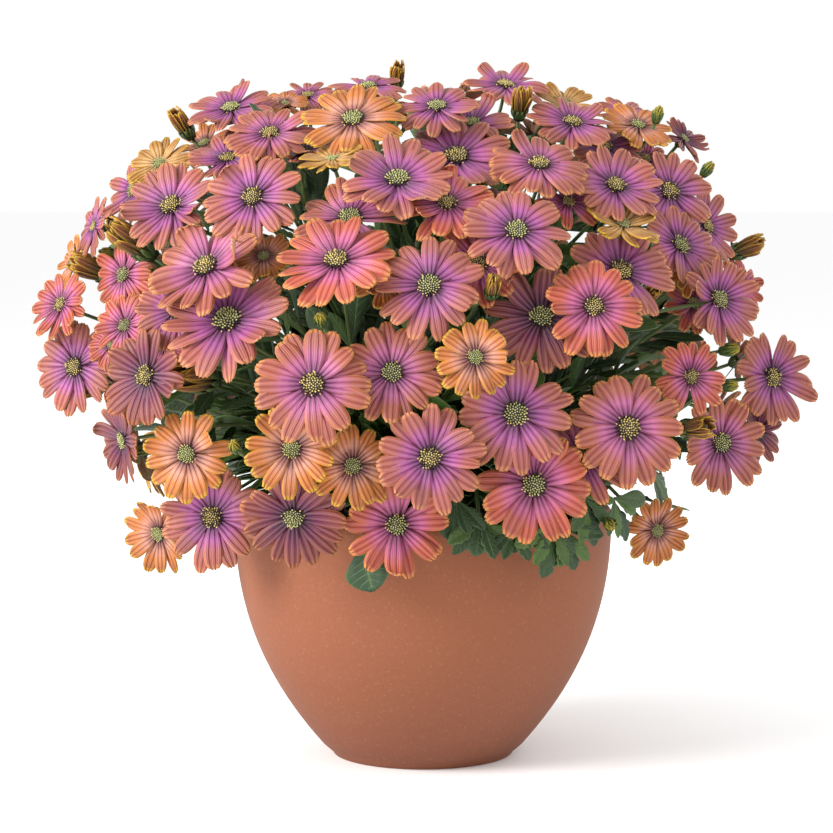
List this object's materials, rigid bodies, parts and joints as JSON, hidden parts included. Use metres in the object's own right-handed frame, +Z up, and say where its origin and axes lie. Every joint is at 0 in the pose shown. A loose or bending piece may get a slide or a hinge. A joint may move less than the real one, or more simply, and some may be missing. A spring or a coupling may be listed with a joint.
{
  "type": "potted osteospermum",
  "caption": "Dense round dome of daisy-like blooms, buds and toothed leaves on thin stalks, growing from a smooth rounded terracotta pot filled with potting soil",
  "frame": {"origin": "middle of the flat underside of the pot, on the surface it stands on", "axes": "+Z up, +X to the right and -Y towards the viewer of the picture"},
  "size_m": [0.4738, 0.4276, 0.4299],
  "materials": {
    "terracotta": "unglazed fired clay, matte, fine speckles and faint throwing lines",
    "potting_soil": "dark crumbly potting compost, matte",
    "plant": "soft satin petals in mauve, coral and orange, and semi-matte green leaves and stalks"
  },
  "bodies": {
    "root": {"pot": "terracotta", "soil": "potting_soil", "spray_01": "plant", "spray_02": "plant", "spray_03": "plant", "spray_04": "plant", "spray_05": "plant", "spray_06": "plant", "spray_07": "plant", "spray_08": "plant", "spray_09": "plant", "spray_10": "plant", "spray_11": "plant", "spray_12": "plant", "spray_13": "plant", "spray_14": "plant", "spray_15": "plant", "spray_16": "plant", "spray_17": "plant", "spray_18": "plant", "spray_19": "plant", "spray_20": "plant", "spray_21": "plant"}
  },
  "joints": []
}
